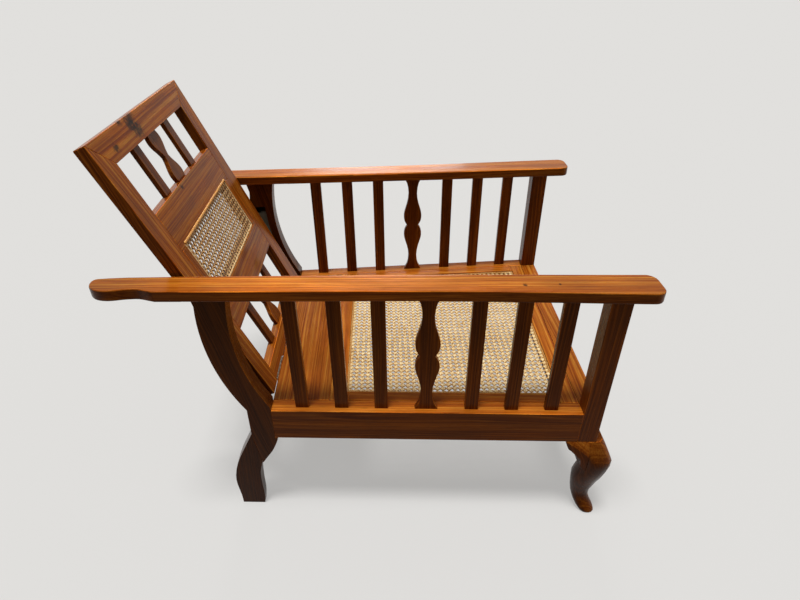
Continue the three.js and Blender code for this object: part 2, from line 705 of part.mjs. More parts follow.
const makeBackFrame = (group) => {
  const outer = backWide / 2;
  const mitre = jointGap;
  const stile = frontPlank(new THREE.Shape([
    new THREE.Vector2(stileInner, backFootLevel),
    new THREE.Vector2(outer, backFootLevel),
    new THREE.Vector2(outer, backLength - mitre),
    new THREE.Vector2(stileInner, topRailFrom - mitre),
  ]), backThick);
  const stileCut = cut(stile, hingeRecess());
  for (const [side, sign] of sides) {
    const shape = sign > 0 ? stileCut.clone() : mirrored(stileCut);
    group.add(mesh(`back_stile_${side}`, shape, 'backWood'));
  }
  const top = frontPlank(new THREE.Shape([
    new THREE.Vector2(-stileInner, topRailFrom),
    new THREE.Vector2(stileInner, topRailFrom),
    new THREE.Vector2(outer, backLength),
    new THREE.Vector2(-outer, backLength),
  ]), backThick);
  group.add(mesh('back_top_rail', top, 'backWood'));
  const inside = stileInner - jointGap;
  const bottom = backBoard(inside, backFootLevel, bottomRailDeep);
  const bottomCut = cut(bottom, hingeRecess(), mirrored(hingeRecess()));
  group.add(mesh('back_bottom_rail', bottomCut, 'backWood'));

  const rebate = caneRebateWide;
  const caneHalf = stileInner - caneStripWide;
  const trench = backBoard(caneHalf, lowerRailTo, upperRailFrom, caneRebateDeep + overrun, -overrun);
  const lower = backBoard(inside, lowerRailFrom, lowerRailTo + rebate);
  const upper = backBoard(inside, upperRailFrom - rebate, upperRailTo);
  group.add(mesh('back_cane_lower_rail', cut(lower, trench), 'backWood'));
  group.add(mesh('back_cane_upper_rail', cut(upper, trench), 'backWood'));
  const [stripLow, stripHigh] = [lowerRailTo + rebate + jointGap, upperRailFrom - rebate - jointGap];
  const stripWide = caneStripWide + rebate - jointGap;
  const strip = new THREE.BoxGeometry(stripWide, backThick, stripHigh - stripLow);
  strip.translate(inside - stripWide / 2, backThick / 2, (stripLow + stripHigh) / 2);
  const stripCut = cut(strip, trench);
  for (const [side, sign] of sides) {
    const shape = sign > 0 ? stripCut.clone() : mirrored(stripCut);
    group.add(mesh(`back_cane_strip_${side}`, shape, 'backWood'));
  }
};

const makeBackSlats = (group) => {
  const setback = (backThick - backSlatThick) / 2;
  const rows = [['upper', upperRailTo, topRailFrom], ['lower', bottomRailDeep, lowerRailFrom]];
  for (const [row, low, high] of rows) {
    const [from, to] = [low + jointGap, high - jointGap];
    const splat = frontPlank(splatOutline(backSplatShares, backSplatWide, to - from), backSlatThick, setback);
    const middle = mesh(`back_splat_${row}`, splat, 'backWood');
    middle.position.z = from;
    group.add(middle);
    for (const [side, sign] of sides) {
      const slat = mesh(`back_slat_${row}_${side}`,
        backBoard(backSlatWide / 2, from, to, backSlatThick, setback), 'backWood');
      slat.position.x = sign * backSlatShare * stileInner;
      group.add(slat);
    }
  }
};

const makeBackCane = () => {
  const half = stileInner - caneStripWide - jointGap;
  const [low, high] = [lowerRailTo + jointGap, upperRailFrom - jointGap];
  const corner = (u, v) => new THREE.Vector2(half * (2 * u - 1), low + (high - low) * v);
  const net = caneNet(corner, backAcrossCount, backUpCount, caneThick, caneBorder / (2 * half));
  const upright = net.applyMatrix4(turnToFront);
  const cane = mesh('back_cane', upright, 'cane');
  cane.position.y = caneRebateDeep - jointGap;
  return cane;
};

// Butt hinge drawn about its pin, which lies along x. One leaf holds the pin, the other turns on it
const hingeStep = hingeLong / knuckleCount;
const barrel = (radius, from, to) => {
  const round = new THREE.CylinderGeometry(radius, radius, to - from, roundSides);
  return round.rotateZ(Math.PI / 2).translate((from + to) / 2, 0, 0);
};

const knuckles = (parity) => {
  const found = [];
  for (let index = parity; index < knuckleCount; index += 2) {
    const from = -hingeLong / 2 + index * hingeStep + jointGap / 2;
    found.push([from, from + hingeStep - jointGap]);
  }
  return found;
};

const clearBarrels = (parity) => knuckles(1 - parity).map(([from, to]) => (
  barrel(knuckleRadius + jointGap, from - jointGap, to + jointGap)
));

// This leaf hangs on the rear edge of the seat's board, which is in front of the pin
const seatLeaf = () => {
  const plate = new THREE.BoxGeometry(hingeLong, leafThick, seatLeafDeep);
  plate.translate(0, leafThick / 2 - hingeBehindRail, -seatLeafDeep / 2);
  const body = cut(plate, ...clearBarrels(0));
  const pin = barrel(pinRadius, -hingeLong / 2 - pinHead, hingeLong / 2 + pinHead);
  return join(body, ...knuckles(0).map(([from, to]) => barrel(knuckleRadius, from, to)), pin);
};

// This one lies under the recess in the foot of the back
const backLeaf = () => {
  const plate = new THREE.BoxGeometry(hingeLong, backLeafDeep, leafThick);
  plate.translate(0, backLeafDeep / 2, backLeafLevel - leafThick / 2);
  const body = cut(plate, ...clearBarrels(1));
  const joined = join(body, ...knuckles(1).map(([from, to]) => barrel(knuckleRadius, from, to)));
  return cut(joined, barrel(pinRadius + jointGap, -hingeLong, hingeLong));
};

const hingeY = railRearY + hingeBehindRail;

const makeSeatLeaves = () => {
  const group = new THREE.Group();
  for (const [side, sign] of sides) {
    const leaf = mesh(`hinge_seat_leaf_${side}`, seatLeaf(), 'brass');
    leaf.position.set(sign * hingeFromMiddle, hingeY, seatHeight);
    group.add(leaf);
  }
  return group;
};

const makeBack = () => {
  const group = new THREE.Group();
  group.position.set(0, hingeY, seatHeight);
  group.rotation.x = -lean;
  const panel = new THREE.Group();
  panel.position.y = -backAheadOfPin;
  makeBackFrame(panel);
  makeBackSlats(panel);
  panel.add(makeBackCane());
  group.add(panel);
  for (const [side, sign] of sides) {
    const leaf = mesh(`hinge_back_leaf_${side}`, backLeaf(), 'brass');
    leaf.position.x = sign * hingeFromMiddle;
    group.add(leaf);
  }
  return group;
};

// Rod behind the back, its ends in the slots of the rear posts
const makeRod = () => {
  const top = rodRest + (notchCount - 1) / 2 * notchStep;
  const rearmost = sweepCentreForward - rodPathRadius * Math.cos(top);
  const reach = halfWidthAt(rearmost) - rearPostThick + slotDepth - runningGap;
  const rod = new THREE.CylinderGeometry(rodRadius, rodRadius, 2 * reach, roundSides);
  const piece = mesh('support_rod', rod.rotateZ(Math.PI / 2), 'steel');
  const rearward = rodPathRadius * Math.cos(rodRest) - sweepCentreForward;
  piece.position.set(0, railRearY + rearward, sweepCentreHeight + rodPathRadius * Math.sin(rodRest));
  return piece;
};

const chair = new THREE.Group();
chair.add(makeSides());
chair.add(makeArms());
chair.add(makeRearPosts());
chair.add(makeFrontLegs());
chair.add(makeSeatRails());
chair.add(makeSeatFrame());
chair.add(makeSeatCane());
chair.add(makeSeatLeaves());
chair.add(makeBack());
chair.add(makeRod());

export default chair;
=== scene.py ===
"""Planters chair: looks of its varnished teak, woven cane, hinges and support rod."""

import json
import math
import random

import bmesh
import bpy
import numpy as np
from mathutils import Matrix, Vector, noise


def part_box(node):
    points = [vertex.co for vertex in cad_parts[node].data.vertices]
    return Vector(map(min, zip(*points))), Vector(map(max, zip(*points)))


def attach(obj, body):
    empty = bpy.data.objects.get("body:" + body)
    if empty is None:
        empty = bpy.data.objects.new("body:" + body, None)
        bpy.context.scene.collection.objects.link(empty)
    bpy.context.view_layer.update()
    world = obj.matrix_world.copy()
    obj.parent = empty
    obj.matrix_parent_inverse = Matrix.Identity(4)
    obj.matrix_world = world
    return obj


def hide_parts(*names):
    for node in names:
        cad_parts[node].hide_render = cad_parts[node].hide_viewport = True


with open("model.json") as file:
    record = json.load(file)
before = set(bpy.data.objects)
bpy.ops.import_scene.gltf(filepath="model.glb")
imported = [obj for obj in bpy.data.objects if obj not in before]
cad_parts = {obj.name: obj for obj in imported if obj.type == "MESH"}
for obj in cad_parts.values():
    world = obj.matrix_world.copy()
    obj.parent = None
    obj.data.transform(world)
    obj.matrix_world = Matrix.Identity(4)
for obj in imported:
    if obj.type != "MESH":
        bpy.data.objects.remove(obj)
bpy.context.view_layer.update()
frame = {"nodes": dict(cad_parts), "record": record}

MM = 0.001
RECORD = frame["record"]
BODY_OF = {node: body for body, nodes in RECORD["behaviour"]["bodies"].items() for node in nodes}
SLOT_OF = {part["node"]: part["material_slot"] for part in RECORD["subparts"]}
JOINT_AT = {joint["name"]: Vector(joint["pos_m"]) for joint in RECORD["behaviour"]["joints"]}

# Sizes and places are in millimetres and turns in degrees. The studio's places are in metres
BACK_LEAN = 23.1
# Points of a mesh that lie closer than this are merged
WELD = 0.02

# Wood: its edges, and the angles under which faces are one and over which an edge is eased
EASED_EDGE = 1.1
FLAT_ANGLE = 0.6
SHARP_ANGLE = 48

# Patterns that run along the grain: how far each is stretched along and across it, and its noise's
# detail and roughness. Real fibres and pores are finer, too fine to show
STREAKS = {"wander": (600, 90, 2, 0.5), "fibres": (150, 1.6, 2, 0.5),
           "pores": (28, 1.5, 2, 0.7), "clouds": (150, 30, 3, 0.5)}
# Rings round the heart of the tree: how wide they are, and their noise's detail and roughness
RINGS = {"growth": (3.4, 3, 0.6), "broad": (15, 1, 0.5)}
# How far the rings wander, and how little a place along the board counts in its distance from the heart
WANDER_REACH = 24
LENGTH_SHARE = 0.012
# How much each pattern counts in the wood's figure
GROWTH_SHARE = 0.4
BROAD_SHARE = 0.26
FIBRE_SHARE = 0.34
# Where in its log a board was sawn: along it, and away from its heart across both ways of the board
LOG_LONG = 4000
HEART_ACROSS = (35, 90)
HEART_BELOW = (30, 80)

# The figure's colours from its darkest lines to its palest. The paler set is painted light, on faces turned
# to the light; the darker set is painted shade on faces turned away and the deeper tone of darker stock
PAINTED_LIT_TEAK = [(0.38, "#98420e"), (0.46, "#bf6016"), (0.54, "#dc7f24"), (0.63, "#efa23e")]
DEEP_AND_SHADED_TEAK = [(0.38, "#451c05"), (0.46, "#5a2807"), (0.54, "#6f350b"), (0.63, "#874513")]

# Each kind of stock: how strongly its faces turned up and forward are painted paler than its sides, as
# painted light and shade, and how light it is. A piece is of the first kind that its name begins with
STOCK = {"arm": (1.0, 1.0), "side_slat": (0.5, 0.8), "side_splat": (0.5, 0.75), "side_rail": (1.0, 0.93),
         "rear_post": (0.4, 0.4), "rear_foot": (0.3, 0.3), "front_leg": (0.5, 0.58), "knee": (0.55, 0.8),
         "front_post": (0.6, 0.86), "rear_rail": (0.3, 0.8), "seat_cleat": (0.3, 0.8),
         "seat_rear_board": (0.72, 0.58), "back_slat": (0.25, 0.75), "back_splat": (0.25, 0.75),
         "back": (0.64, 0.84), "front_rail": (0.6, 0.84), "seat_frame": (0.75, 0.86)}
# Two boards of one kind differ in tone within this range
TONE_RANGE = (0.93, 1.07)
# Painted light and shade: faces that look up and forward are painted paler and sides darker. Faces at right
# angles to that direction get the first share, and the second is added as they turn towards it
PAINTED_LIGHT_SIDE = Vector((0, -0.5, 0.87))
PAINTED_LIGHT_SHARES = (0.12, 1.15)
# Painted sheen: arms are painted palest along their middle and duller towards their ends. Place along the
# chair from its middle, and how light
ARM_PAINTED_SHEEN = [(-500, 0.62), (-360, 0.68), (-170, 0.86), (60, 1.08), (180, 1.0), (300, 0.84), (385, 0.7),
              (560, 0.5)]
# Arms are cut across here, so that their points are close enough to carry that change
ARM_CUTS = range(-480, 540, 60)

# Knots and dark marks in the wood: where in the chair at rest, and how far they reach
KNOTS = [((-56, 475, 883), 21), ((-53, 466, 861), 19), ((-70, 472, 874), 15), ((-165, 465, 859), 10),
         ((-102, 478, 888), 9), ((-40, 411, 731), 7), ((-312, -281, 637), 5), ((-312, -347, 637), 3)]
# Their edges are torn in bits of this size, and by this share of their reach
RAGGED_SIZE = 7
RAGGED_SHARE = 2.2

# Slots that the rod's ends run in: reach from the middle of the rod's path, and depth below the post's
# face. At the rail's rear end that face stands this far out, and further out by a share of the way forward
SLOT_REACH = (402, 440)
SLOT_DEPTH = (0.4, 12.6)
POST_FACE = 264.5
SPLAY_SHARE = 0.0545
RAIL_REAR = 235
# Heights between which a slot's inside turns from painted grey to near-black painted shade, and how
# ragged that edge is
SLOT_SHADE_EDGE = (530, 537)
SLOT_SHADE_RAGGED = 14

# Woven cane
PITCH = 13.3
PAIR_SPACING = 3.1
STRAND_WIDE = 2.7
STRAND_THICK = 1.2
# A strand's section, in shares of its width and thickness
SECTION_SHARES = ((-0.5, -0.5), (0.5, -0.5), (0.3, 0.5), (-0.3, 0.5))
# A slanting strand's way from under to over, in shares of its length and of a strand's thickness
SLANT_SHARES = ((0, -1), (0.3, -0.55), (0.7, 0.55), (1, 1))
SEAT_SAG = 3
BACK_SAG = 1.5
# Strands stray from their straight course and vary in thickness, each by an amount over a length. The
# seed is fixed, because the noise that moves them otherwise differs from run to run
STRAY_SEED = 1
STRAY, STRAY_OVER = 0.35, 17
THINNING_SHARE, THINNING_OVER = 0.12, 5
# Colour changes over a panel in broad patches and along a strand in short stretches
PATCH_SIZE = 38
PEEL_SIZE = 3.2
# How near a panel's end its points count as being at that end
PANEL_END = 3

# Binders over a panel's edges: width, height, level above the weave, and inset from the edge
PLAIN_BINDER = (5.5, 1.8, 0.5, 2.75)
TOP_BINDER = (7.5, 3.2, 2.2, 1.5)
BINDER_SIDES = 6
# A binder strays sideways by this much over this length
BINDER_STRAY, BINDER_STRAY_OVER = 0.5, 22
# A loop ties the binder down once in so many steps, and pinches it a little
LOOP_STEPS = 4
PINCH_SHARE = 0.16

# Hinge screws, and how far they lie from the end of the leaf that is away from the pin
SCREW_RADIUS = 2.9
SCREW_RISE = 0.55
SCREW_SLOT = 0.7
SCREW_PITCH = 26
SCREW_COUNT = 3
SCREW_FACETS = 16
SEAT_SCREW_INSET = 9
BACK_SCREW_INSET = 7
# How near a leaf's end its points count as being at that end
LEAF_END = 0.1
# A screw head's rims, in shares of its radius and rise
RIM_SHARES = ((1.0, -0.4), (1.0, 0.35), (0.86, 0.75))
# Each half of its top: reach and narrowing, foot and height, in the same shares, and its facets
CAP_SHARE = 0.84
CAP_TAPER_SHARE = 0.9
CAP_RISE_SHARES = (0.7, 1.3)
CAP_FACETS = 7

# Stains on old metal, and how much rougher they are than what is rubbed bare
STAIN_SIZE = 9
MATT_ADDED = 0.18

# Studio: the plain room, the paper floor as it is seen and as light bounces off it, and its reach
BACKDROP = "#e3e2e0"
ROOM_LIGHT = "#f4f2ef"
ROOM_STRENGTH = 0.25
PAPER_SEEN = "#9c9b99"
PAPER_BOUNCED = "#6c6864"
PAPER_GLOW = 0.5
FLOOR_REACH = 60
# Each lamp's name, strength, spread and turn
SUNS = (("overhead", 2.7, 14, (-6, -6, 0)), ("low_glance", 0.32, 16, (0, 71, 0)))
CAMERA_LENS = 24.9
CAMERA_SENSOR = 36
CAMERA_PLACE = (-1.1758, -0.023, 1.189)
CAMERA_TURN = (56.15, 0.286, -91.84)


# Small tools

def linear(code):
    """Hex sRGB colour as linear numbers."""
    parts = [int(code[place:place + 2], 16) / 255 for place in (1, 3, 5)]
    return [*(p / 12.92 if p <= 0.04045 else ((p + 0.055) / 1.055) ** 2.4 for p in parts), 1.0]


def radians(turns):
    """Turns in degrees, as radians."""
    return [math.radians(turn) for turn in turns]


def add(tree, kind, inputs=None, stops=(), **settings):
    """Adds a node. An input is a plain value or the socket that feeds it. Stops are a ramp's colours."""
    made = tree.nodes.new(kind)
    for name, value in settings.items():
        setattr(made, name, value)
    for key, value in (inputs or {}).items():
        if isinstance(value, bpy.types.NodeSocket):
            tree.links.new(value, made.inputs[key])
        else:
            made.inputs[key].default_value = value
    for index, (place, code) in enumerate(stops):
        band = made.color_ramp.elements
        stop = band[index] if index < len(band) else band.new(place)
        stop.position = place
        stop.color = linear(code)
    return made


def new_material(name):
    """New material, with its node tree and its shader."""
    material = bpy.data.materials.new(name)
    material.use_nodes = True
    tree = material.node_tree
    return material, tree, tree.nodes["Principled BSDF"]


def placed(name, data):
    """New object in the scene, made of the data."""
    made = bpy.data.objects.new(name, data)
    bpy.context.collection.objects.link(made)
    return made


def finished(name, mesh, material, body, smooth=True):
    """Mesh, already in its place, as a finished piece on its body."""
    mesh.materials.clear()
    mesh.materials.append(material)
    mesh.polygons.foreach_set("use_smooth", [smooth] * len(mesh.polygons))
    piece = placed(name, mesh)
    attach(piece, body)
    return piece


def meshed(name, shape):
    """Turns a bmesh into a mesh and lets the bmesh go."""
    mesh = bpy.data.meshes.new(name)
    shape.to_mesh(mesh)
    shape.free()
    return mesh


def cut(shape, place, facing, trim=False):
    """Cuts a shape along a plane, and where it is trimmed drops what lies beyond the plane."""
    everything = shape.verts[:] + shape.edges[:] + shape.faces[:]
    bmesh.ops.bisect_plane(shape, geom=everything, plane_co=place, plane_no=facing, clear_outer=trim)


def sideways(start, end):
    """Direction at right angles to a run, in the plane of its panel."""
    return Vector((start.y - end.y, end.x - start.x, 0)).normalized()


# Materials

def varnished_teak():
    """Old teak under many coats of varnish. The sawn boards show long straight growth lines, the wood's
    oil gives an orange glow, and the varnish shines unevenly. Painted light and shade: faces turned up and
    forward are painted paler than sides, and eased edges paler still, as rubbed wear and painted highlight."""
    material, tree, shader = new_material("varnished_teak")
    grain = add(tree, "ShaderNodeAttribute", attribute_name="grain").outputs["Vector"]
    tone_and_sheen, painted_light, wear_and_highlight, slot_shade_paint = (add(tree, "ShaderNodeAttribute", attribute_name=label).outputs["Fac"]
                                 for label in ("tone_and_sheen", "painted_light", "wear_and_highlight", "slot_shade_paint"))
    place = add(tree, "ShaderNodeTexCoord").outputs["Object"]

    streaks = {}
    for label, (long, wide, detail, rough) in STREAKS.items():
        drawn = add(tree, "ShaderNodeVectorMath", {0: grain, 1: (1 / long, 1 / wide, 1 / wide)},
                    operation="MULTIPLY")
        streaks[label] = add(tree, "ShaderNodeTexNoise", {
            "Vector": drawn.outputs[0], "Scale": 1, "Detail": detail, "Roughness": rough}).outputs
    fibres, pores, clouds = (streaks[label]["Fac"] for label in ("fibres", "pores", "clouds"))

    # The rings wander a little along the board, as a real trunk's do
    sway = add(tree, "ShaderNodeVectorMath", {0: streaks["wander"]["Color"], 1: (0.5, 0.5, 0.5)},
               operation="SUBTRACT")
    swayed = add(tree, "ShaderNodeVectorMath", {0: sway.outputs[0], "Scale": WANDER_REACH},
                 operation="SCALE")
    moved = add(tree, "ShaderNodeVectorMath", {0: grain, 1: swayed.outputs[0]}, operation="ADD")
    flat = add(tree, "ShaderNodeVectorMath", {0: moved.outputs[0], 1: (LENGTH_SHARE, 1, 1)},
               operation="MULTIPLY")
    radius = add(tree, "ShaderNodeVectorMath", {0: flat.outputs[0]}, operation="LENGTH").outputs["Value"]
    rings = {}
    for label, (wide, detail, rough) in RINGS.items():
        count = add(tree, "ShaderNodeMath", {0: radius, 1: wide}, operation="DIVIDE")
        rings[label] = add(tree, "ShaderNodeTexNoise", {
            "W": count.outputs[0], "Scale": 1, "Detail": detail, "Roughness": rough},
            noise_dimensions="1D").outputs["Fac"]

    figure = 0.0
    for pattern, share in ((rings["growth"], GROWTH_SHARE), (rings["broad"], BROAD_SHARE),
                           (fibres, FIBRE_SHARE)):
        figure = add(tree, "ShaderNodeMath", {0: pattern, 1: share, 2: figure},
                     operation="MULTIPLY_ADD").outputs[0]
    light = add(tree, "ShaderNodeValToRGB", {"Fac": figure}, stops=PAINTED_LIT_TEAK)
    dark = add(tree, "ShaderNodeValToRGB", {"Fac": figure}, stops=DEEP_AND_SHADED_TEAK)
    # The colour sockets of Mix are inputs 6 and 7 and output 2
    # Painted light and shade: faces turned up and forward take the paler teak, sides and faces turned away
    # the darker
    lit_and_shaded = add(tree, "ShaderNodeMix", {0: painted_light, 6: dark.outputs["Color"], 7: light.outputs["Color"]},
                 data_type="RGBA")

    glow = add(tree, "ShaderNodeMapRange", {"Value": clouds, "From Min": 0.3, "From Max": 0.7,
                                            "To Min": 0.8, "To Max": 1.18})
    # An arm's tone also carries its painted sheen along its length
    tone = add(tree, "ShaderNodeMath", {0: glow.outputs["Result"], 1: tone_and_sheen}, operation="MULTIPLY")
    fleck = add(tree, "ShaderNodeMapRange", {"Value": pores, "From Min": 0.3, "From Max": 0.45,
                                             "To Min": 0.68, "To Max": 1.0})
    shade = add(tree, "ShaderNodeMath", {0: tone.outputs[0], 1: fleck.outputs["Result"]},
                operation="MULTIPLY")
    # Painted highlight and real wear: eased edges are painted paler, by cloudy amounts
    edge_lift = add(tree, "ShaderNodeMapRange", {"Value": clouds, "From Min": 0.36, "From Max": 0.62,
                                           "To Min": 0.05, "To Max": 0.9})
    lift = add(tree, "ShaderNodeMath", {0: wear_and_highlight, 1: edge_lift.outputs["Result"], 2: shade.outputs[0]},
               operation="MULTIPLY_ADD")

    # Each knot is a ragged dark spot
    ragged = add(tree, "ShaderNodeTexNoise", {
        "Vector": place, "Scale": 1 / (RAGGED_SIZE * MM), "Detail": 4}).outputs["Fac"]
    torn = add(tree, "ShaderNodeMath", {0: ragged, 1: RAGGED_SHARE}, operation="MULTIPLY")
    clear = lift.outputs[0]
    for spot, reach in KNOTS:
        away = add(tree, "ShaderNodeVectorMath", {0: place, 1: [part * MM for part in spot]},
                   operation="DISTANCE")
        share = add(tree, "ShaderNodeMath", {
            0: away.outputs["Value"], 1: 1 / (reach * MM), 2: torn.outputs[0]}, operation="MULTIPLY_ADD")
        spared = add(tree, "ShaderNodeMapRange", {"Value": share.outputs[0], "From Min": 1.4, "From Max": 2.3,
                                                  "To Min": 0.16, "To Max": 1.0})
        clear = add(tree, "ShaderNodeMath", {0: clear, 1: spared.outputs["Result"]},
                    operation="MULTIPLY").outputs[0]
    coloured = add(tree, "ShaderNodeVectorMath", {0: lit_and_shaded.outputs[2], "Scale": clear}, operation="SCALE")

    # Painted shade: each rod slot's inside is painted near black above a ragged height, and grey below it
    height = add(tree, "ShaderNodeSeparateXYZ", {"Vector": place}).outputs["Z"]
    uneven = add(tree, "ShaderNodeMath", {0: ragged, 1: SLOT_SHADE_RAGGED * MM, 2: height},
                 operation="MULTIPLY_ADD")
    shade_share = add(tree, "ShaderNodeMapRange", {
        "Value": uneven.outputs[0], "From Min": SLOT_SHADE_EDGE[0] * MM, "From Max": SLOT_SHADE_EDGE[1] * MM})
    slot_shade = add(tree, "ShaderNodeMix", {0: shade_share.outputs["Result"], 6: linear("#8a897c"), 7: linear("#0d0805")},
                data_type="RGBA")
    with_slot_shade = add(tree, "ShaderNodeMix", {0: slot_shade_paint, 6: coloured.outputs[0], 7: slot_shade.outputs[2]},
               data_type="RGBA")
    tree.links.new(with_slot_shade.outputs[2], shader.inputs["Base Color"])

    gloss = add(tree, "ShaderNodeMapRange", {"Value": clouds, "From Min": 0.3, "From Max": 0.7,
                                             "To Min": 0.16, "To Max": 0.34})
    tree.links.new(gloss.outputs["Result"], shader.inputs["Roughness"])
    bump = add(tree, "ShaderNodeBump", {"Height": fibres, "Strength": 0.2, "Distance": 0.2 * MM})
    tree.links.new(bump.outputs["Normal"], shader.inputs["Normal"])
    shader.inputs["IOR"].default_value = 1.5
    # Old varnish is amber, so what it reflects straight back is warm
    shader.inputs["Specular Tint"].default_value = linear("#cf8a4c")
    shader.inputs["Specular IOR Level"].default_value = 0.14
    return material


def split_cane(name, pale, warm, deep):
    """Split rattan peel: straw to amber, smooth and faintly shiny, browner where it is older."""
    material, tree, shader = new_material(name)
    place = add(tree, "ShaderNodeTexCoord").outputs["Object"]
    patches = add(tree, "ShaderNodeTexNoise", {"Vector": place, "Scale": 1 / (PATCH_SIZE * MM), "Detail": 2})
    strands = add(tree, "ShaderNodeTexNoise", {"Vector": place, "Scale": 1 / (PEEL_SIZE * MM), "Detail": 3,
                                               "Roughness": 0.7})
    patchy = add(tree, "ShaderNodeMath", {0: patches.outputs["Fac"], 1: 0.2}, operation="MULTIPLY")
    both = add(tree, "ShaderNodeMath", {0: strands.outputs["Fac"], 1: 0.8, 2: patchy.outputs[0]},
               operation="MULTIPLY_ADD")
    peel = add(tree, "ShaderNodeValToRGB", {"Fac": both.outputs[0]},
               stops=[(0.36, deep), (0.48, warm), (0.58, pale)])
    tree.links.new(peel.outputs["Color"], shader.inputs["Base Color"])
    bump = add(tree, "ShaderNodeBump", {"Height": strands.outputs["Fac"], "Strength": 0.3,
                                        "Distance": 0.1 * MM})
    tree.links.new(bump.outputs["Normal"], shader.inputs["Normal"])
    shader.inputs["Roughness"].default_value = 0.42
    shader.inputs["IOR"].default_value = 1.5
    shader.inputs["Specular Tint"].default_value = linear("#f0d3a4")
    return material


def dulled_metal(name, clean, dull, rough):
    """Old metal: bare where it is rubbed, brown and matt where it has dulled."""
    material, tree, shader = new_material(name)
    place = add(tree, "ShaderNodeTexCoord").outputs["Object"]
    stain = add(tree, "ShaderNodeTexNoise", {"Vector": place, "Scale": 1 / (STAIN_SIZE * MM), "Detail": 4,
                                             "Roughness": 0.65})
    tarnish = add(tree, "ShaderNodeValToRGB", {"Fac": stain.outputs["Fac"]},
                  stops=[(0.38, dull), (0.62, clean)])
    tree.links.new(tarnish.outputs["Color"], shader.inputs["Base Color"])
    matt = add(tree, "ShaderNodeMapRange", {"Value": stain.outputs["Fac"], "From Min": 0.35, "From Max": 0.65,
                                            "To Min": rough + MATT_ADDED, "To Max": rough})
    tree.links.new(matt.outputs["Result"], shader.inputs["Roughness"])
    shader.inputs["Metallic"].default_value = 1
    return material


TEAK = varnished_teak()
SEAT_CANE = split_cane("split_cane_straw", "#fff2cb", "#f5d99c", "#cf9f58")
# Painted shade: the seat's slanting strands take this darker honey cane, which the seat's binders also use
SEAT_CANE_HONEY_AND_SHADE = split_cane("split_cane_honey", "#d8a764", "#b57c3a", "#7f4e20")
BACK_CANE = split_cane("split_cane_aged", "#ffe8b8", "#f8c683", "#bd7d3c")
# Painted shade: the back's slanting strands are painted deep brown
BACK_CANE_SHADE = split_cane("split_cane_painted_shade", "#94602e", "#6b3e1a", "#40220c")
BINDER_CANE = split_cane("binder_cane_amber", "#f3b968", "#e09a48", "#b06a2c")
HINGE_STEEL = dulled_metal("old_hinge_steel", "#b3aa98", "#6a5d4d", 0.36)
ROD_STEEL = dulled_metal("drawn_steel_rod", "#8a8886", "#55504b", 0.32)


# Wood

def lay_grain(mesh, dice):
    """Keeps each point's place in its board, in millimetres from the heart of the tree."""
    points = np.array([corner.co for corner in mesh.vertices]) / MM
    centre = points.mean(axis=0)
    _, axes = np.linalg.eigh(np.cov((points - centre).T))
    thick, wide, long = axes.T
    turned = (points - centre) @ np.array([long, wide, thick]).T
    turned += [dice.uniform(0, LOG_LONG), dice.choice((-1, 1)) * dice.uniform(*HEART_ACROSS),
               dice.uniform(*HEART_BELOW)]
    grain = mesh.attributes.new("grain", "FLOAT_VECTOR", "POINT")
    grain.data.foreach_set("vector", turned.astype(np.float32).ravel())


def in_slot(face):
    """Whether a face of a rear post lies inside the slot that the rod's end runs in."""
    centre = face.calc_center_median() / MM
    middle = JOINT_AT["rod_notch"] / MM
    reach = math.hypot(centre.y - middle.y, centre.z - middle.z)
    depth = abs(centre.x) - POST_FACE - SPLAY_SHARE * (RAIL_REAR - centre.y)
    return SLOT_REACH[0] < reach < SLOT_REACH[1] and SLOT_DEPTH[0] < depth < SLOT_DEPTH[1]


def board(name):
    """A wooden piece with its edges eased, the grain laid along it, and its sides painted darker than its
    top, as painted shade and light.
    """
    dice = random.Random(name)
    is_arm = name.startswith("arm")
    shape = bmesh.new()
    shape.from_mesh(frame["nodes"][name].data)
    bmesh.ops.remove_doubles(shape, verts=shape.verts, dist=WELD * MM)
    bmesh.ops.dissolve_limit(shape, angle_limit=math.radians(FLAT_ANGLE), verts=shape.verts,
                             edges=shape.edges)
    if is_arm:
        for place in ARM_CUTS:
            cut(shape, (0, place * MM, 0), (0, 1, 0))
    sharp = [edge for edge in shape.edges
             if edge.is_manifold and edge.calc_face_angle() > math.radians(SHARP_ANGLE)]
    eased = bmesh.ops.bevel(shape, geom=sharp, offset=EASED_EDGE * MM, segments=2, profile=0.5,
                            affect="EDGES", clamp_overlap=True)
    eased_faces = set(eased["faces"])
    light_paint_share, tone = next(facts for start, facts in STOCK.items() if name.startswith(start))
    shape.normal_update()
    painted_light, wear_and_highlight, slot_shade_paint = [], [], []
    for face in shape.faces:
        # Painted light and shade, by which way each face turns
        towards = face.normal.dot(PAINTED_LIGHT_SIDE)
        painted_light.append(light_paint_share * min(1, max(0, PAINTED_LIGHT_SHARES[0] + PAINTED_LIGHT_SHARES[1] * towards)))
        wear_and_highlight.append(float(face in eased_faces))
        # Faces inside a rear post's slot take the slot's painted shade
        slot_shade_paint.append(float(name.startswith("rear_post") and in_slot(face)))
    mesh = meshed(name, shape)
    lay_grain(mesh, dice)
    for label, values in (("painted_light", painted_light), ("wear_and_highlight", wear_and_highlight), ("slot_shade_paint", slot_shade_paint)):
        mesh.attributes.new(label, "FLOAT", "FACE").data.foreach_set("value", values)
    tones_and_sheen = [tone * dice.uniform(*TONE_RANGE)] * len(mesh.vertices)
    # Painted sheen: an arm's tone is palest along its middle and duller towards its ends
    if is_arm:
        along, lights = zip(*ARM_PAINTED_SHEEN)
        tones_and_sheen = [float(np.interp(corner.co.y / MM, along, lights)) for corner in mesh.vertices]
    mesh.attributes.new("tone_and_sheen", "FLOAT", "POINT").data.foreach_set("value", tones_and_sheen)
    piece = finished(f"{name}_wood", mesh, TEAK, BODY_OF[name])
    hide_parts(name)
    firm = piece.modifiers.new("firm_normals", "WEIGHTED_NORMAL")
    firm.keep_sharp = True


for node_name, slot_name in SLOT_OF.items():
    if slot_name == "varnished_hardwood":
        board(node_name)


# What repeats: woven cane and hinge screws

